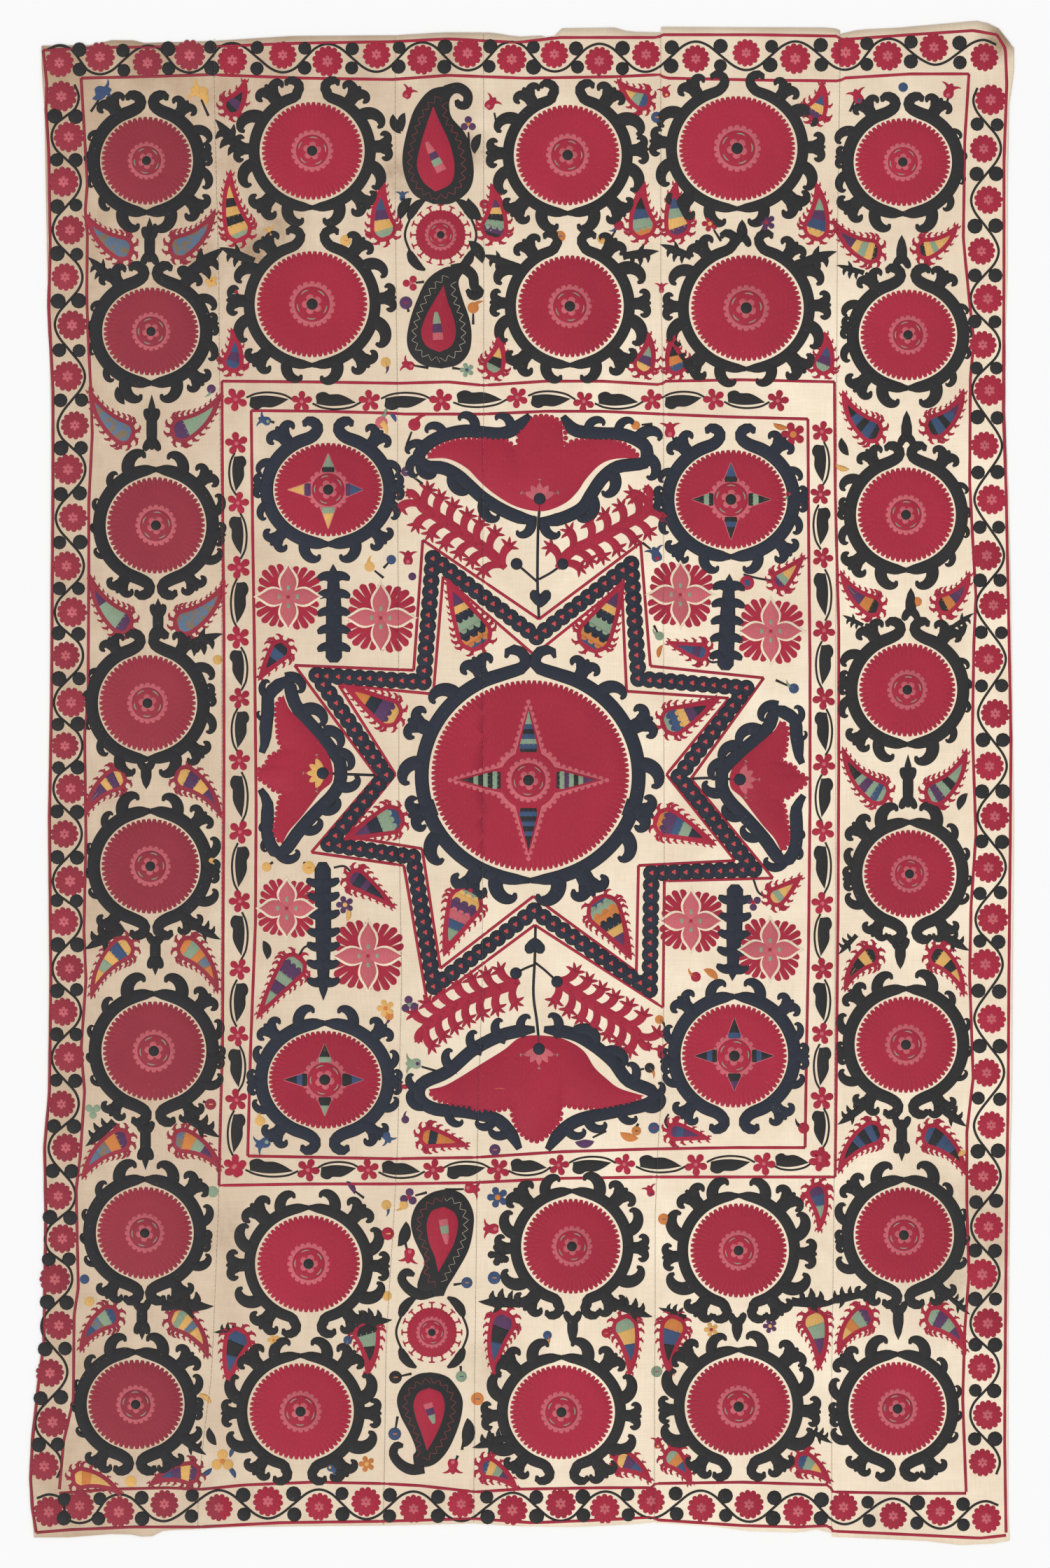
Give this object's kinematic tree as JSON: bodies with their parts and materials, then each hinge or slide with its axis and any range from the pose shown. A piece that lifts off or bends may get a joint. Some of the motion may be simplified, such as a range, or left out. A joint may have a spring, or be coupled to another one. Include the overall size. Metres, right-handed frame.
{
  "type": "suzani embroidered textile",
  "caption": "Large flat bedding or wall cloth of cotton loom strips sewn edge to edge, couched in silk with scalloped rosettes in dark scroll collars round a pointed star, and a floral border.",
  "frame": {"origin": "on the underside, below the middle of the cloth lying face up", "axes": "+Z out of the embroidered face, +Y along the loom strips towards the top hem, +X across the strips to the right selvedge"},
  "size_m": [1.6177, 2.5046, 0.002],
  "materials": {
    "cotton": "hand-loomed plain-weave cotton, cream, slightly soiled",
    "silk_crimson": "couched floss silk, soft sheen",
    "silk_rose": "couched floss silk, soft sheen",
    "silk_coral": "couched floss silk, soft sheen",
    "silk_ink": "couched floss silk, near black to slate",
    "silk_green": "couched floss silk, soft sheen",
    "silk_gold": "couched floss silk, soft sheen",
    "silk_orange": "couched floss silk, soft sheen",
    "silk_blue": "couched floss silk, soft sheen",
    "silk_violet": "couched floss silk, soft sheen",
    "silk_cream": "couched floss silk, soft sheen"
  },
  "bodies": {
    "root": {"strip_1": "cotton", "strip_2": "cotton", "strip_3": "cotton", "strip_4": "cotton", "strip_5": "cotton", "strip_6": "cotton"}
  },
  "joints": []
}
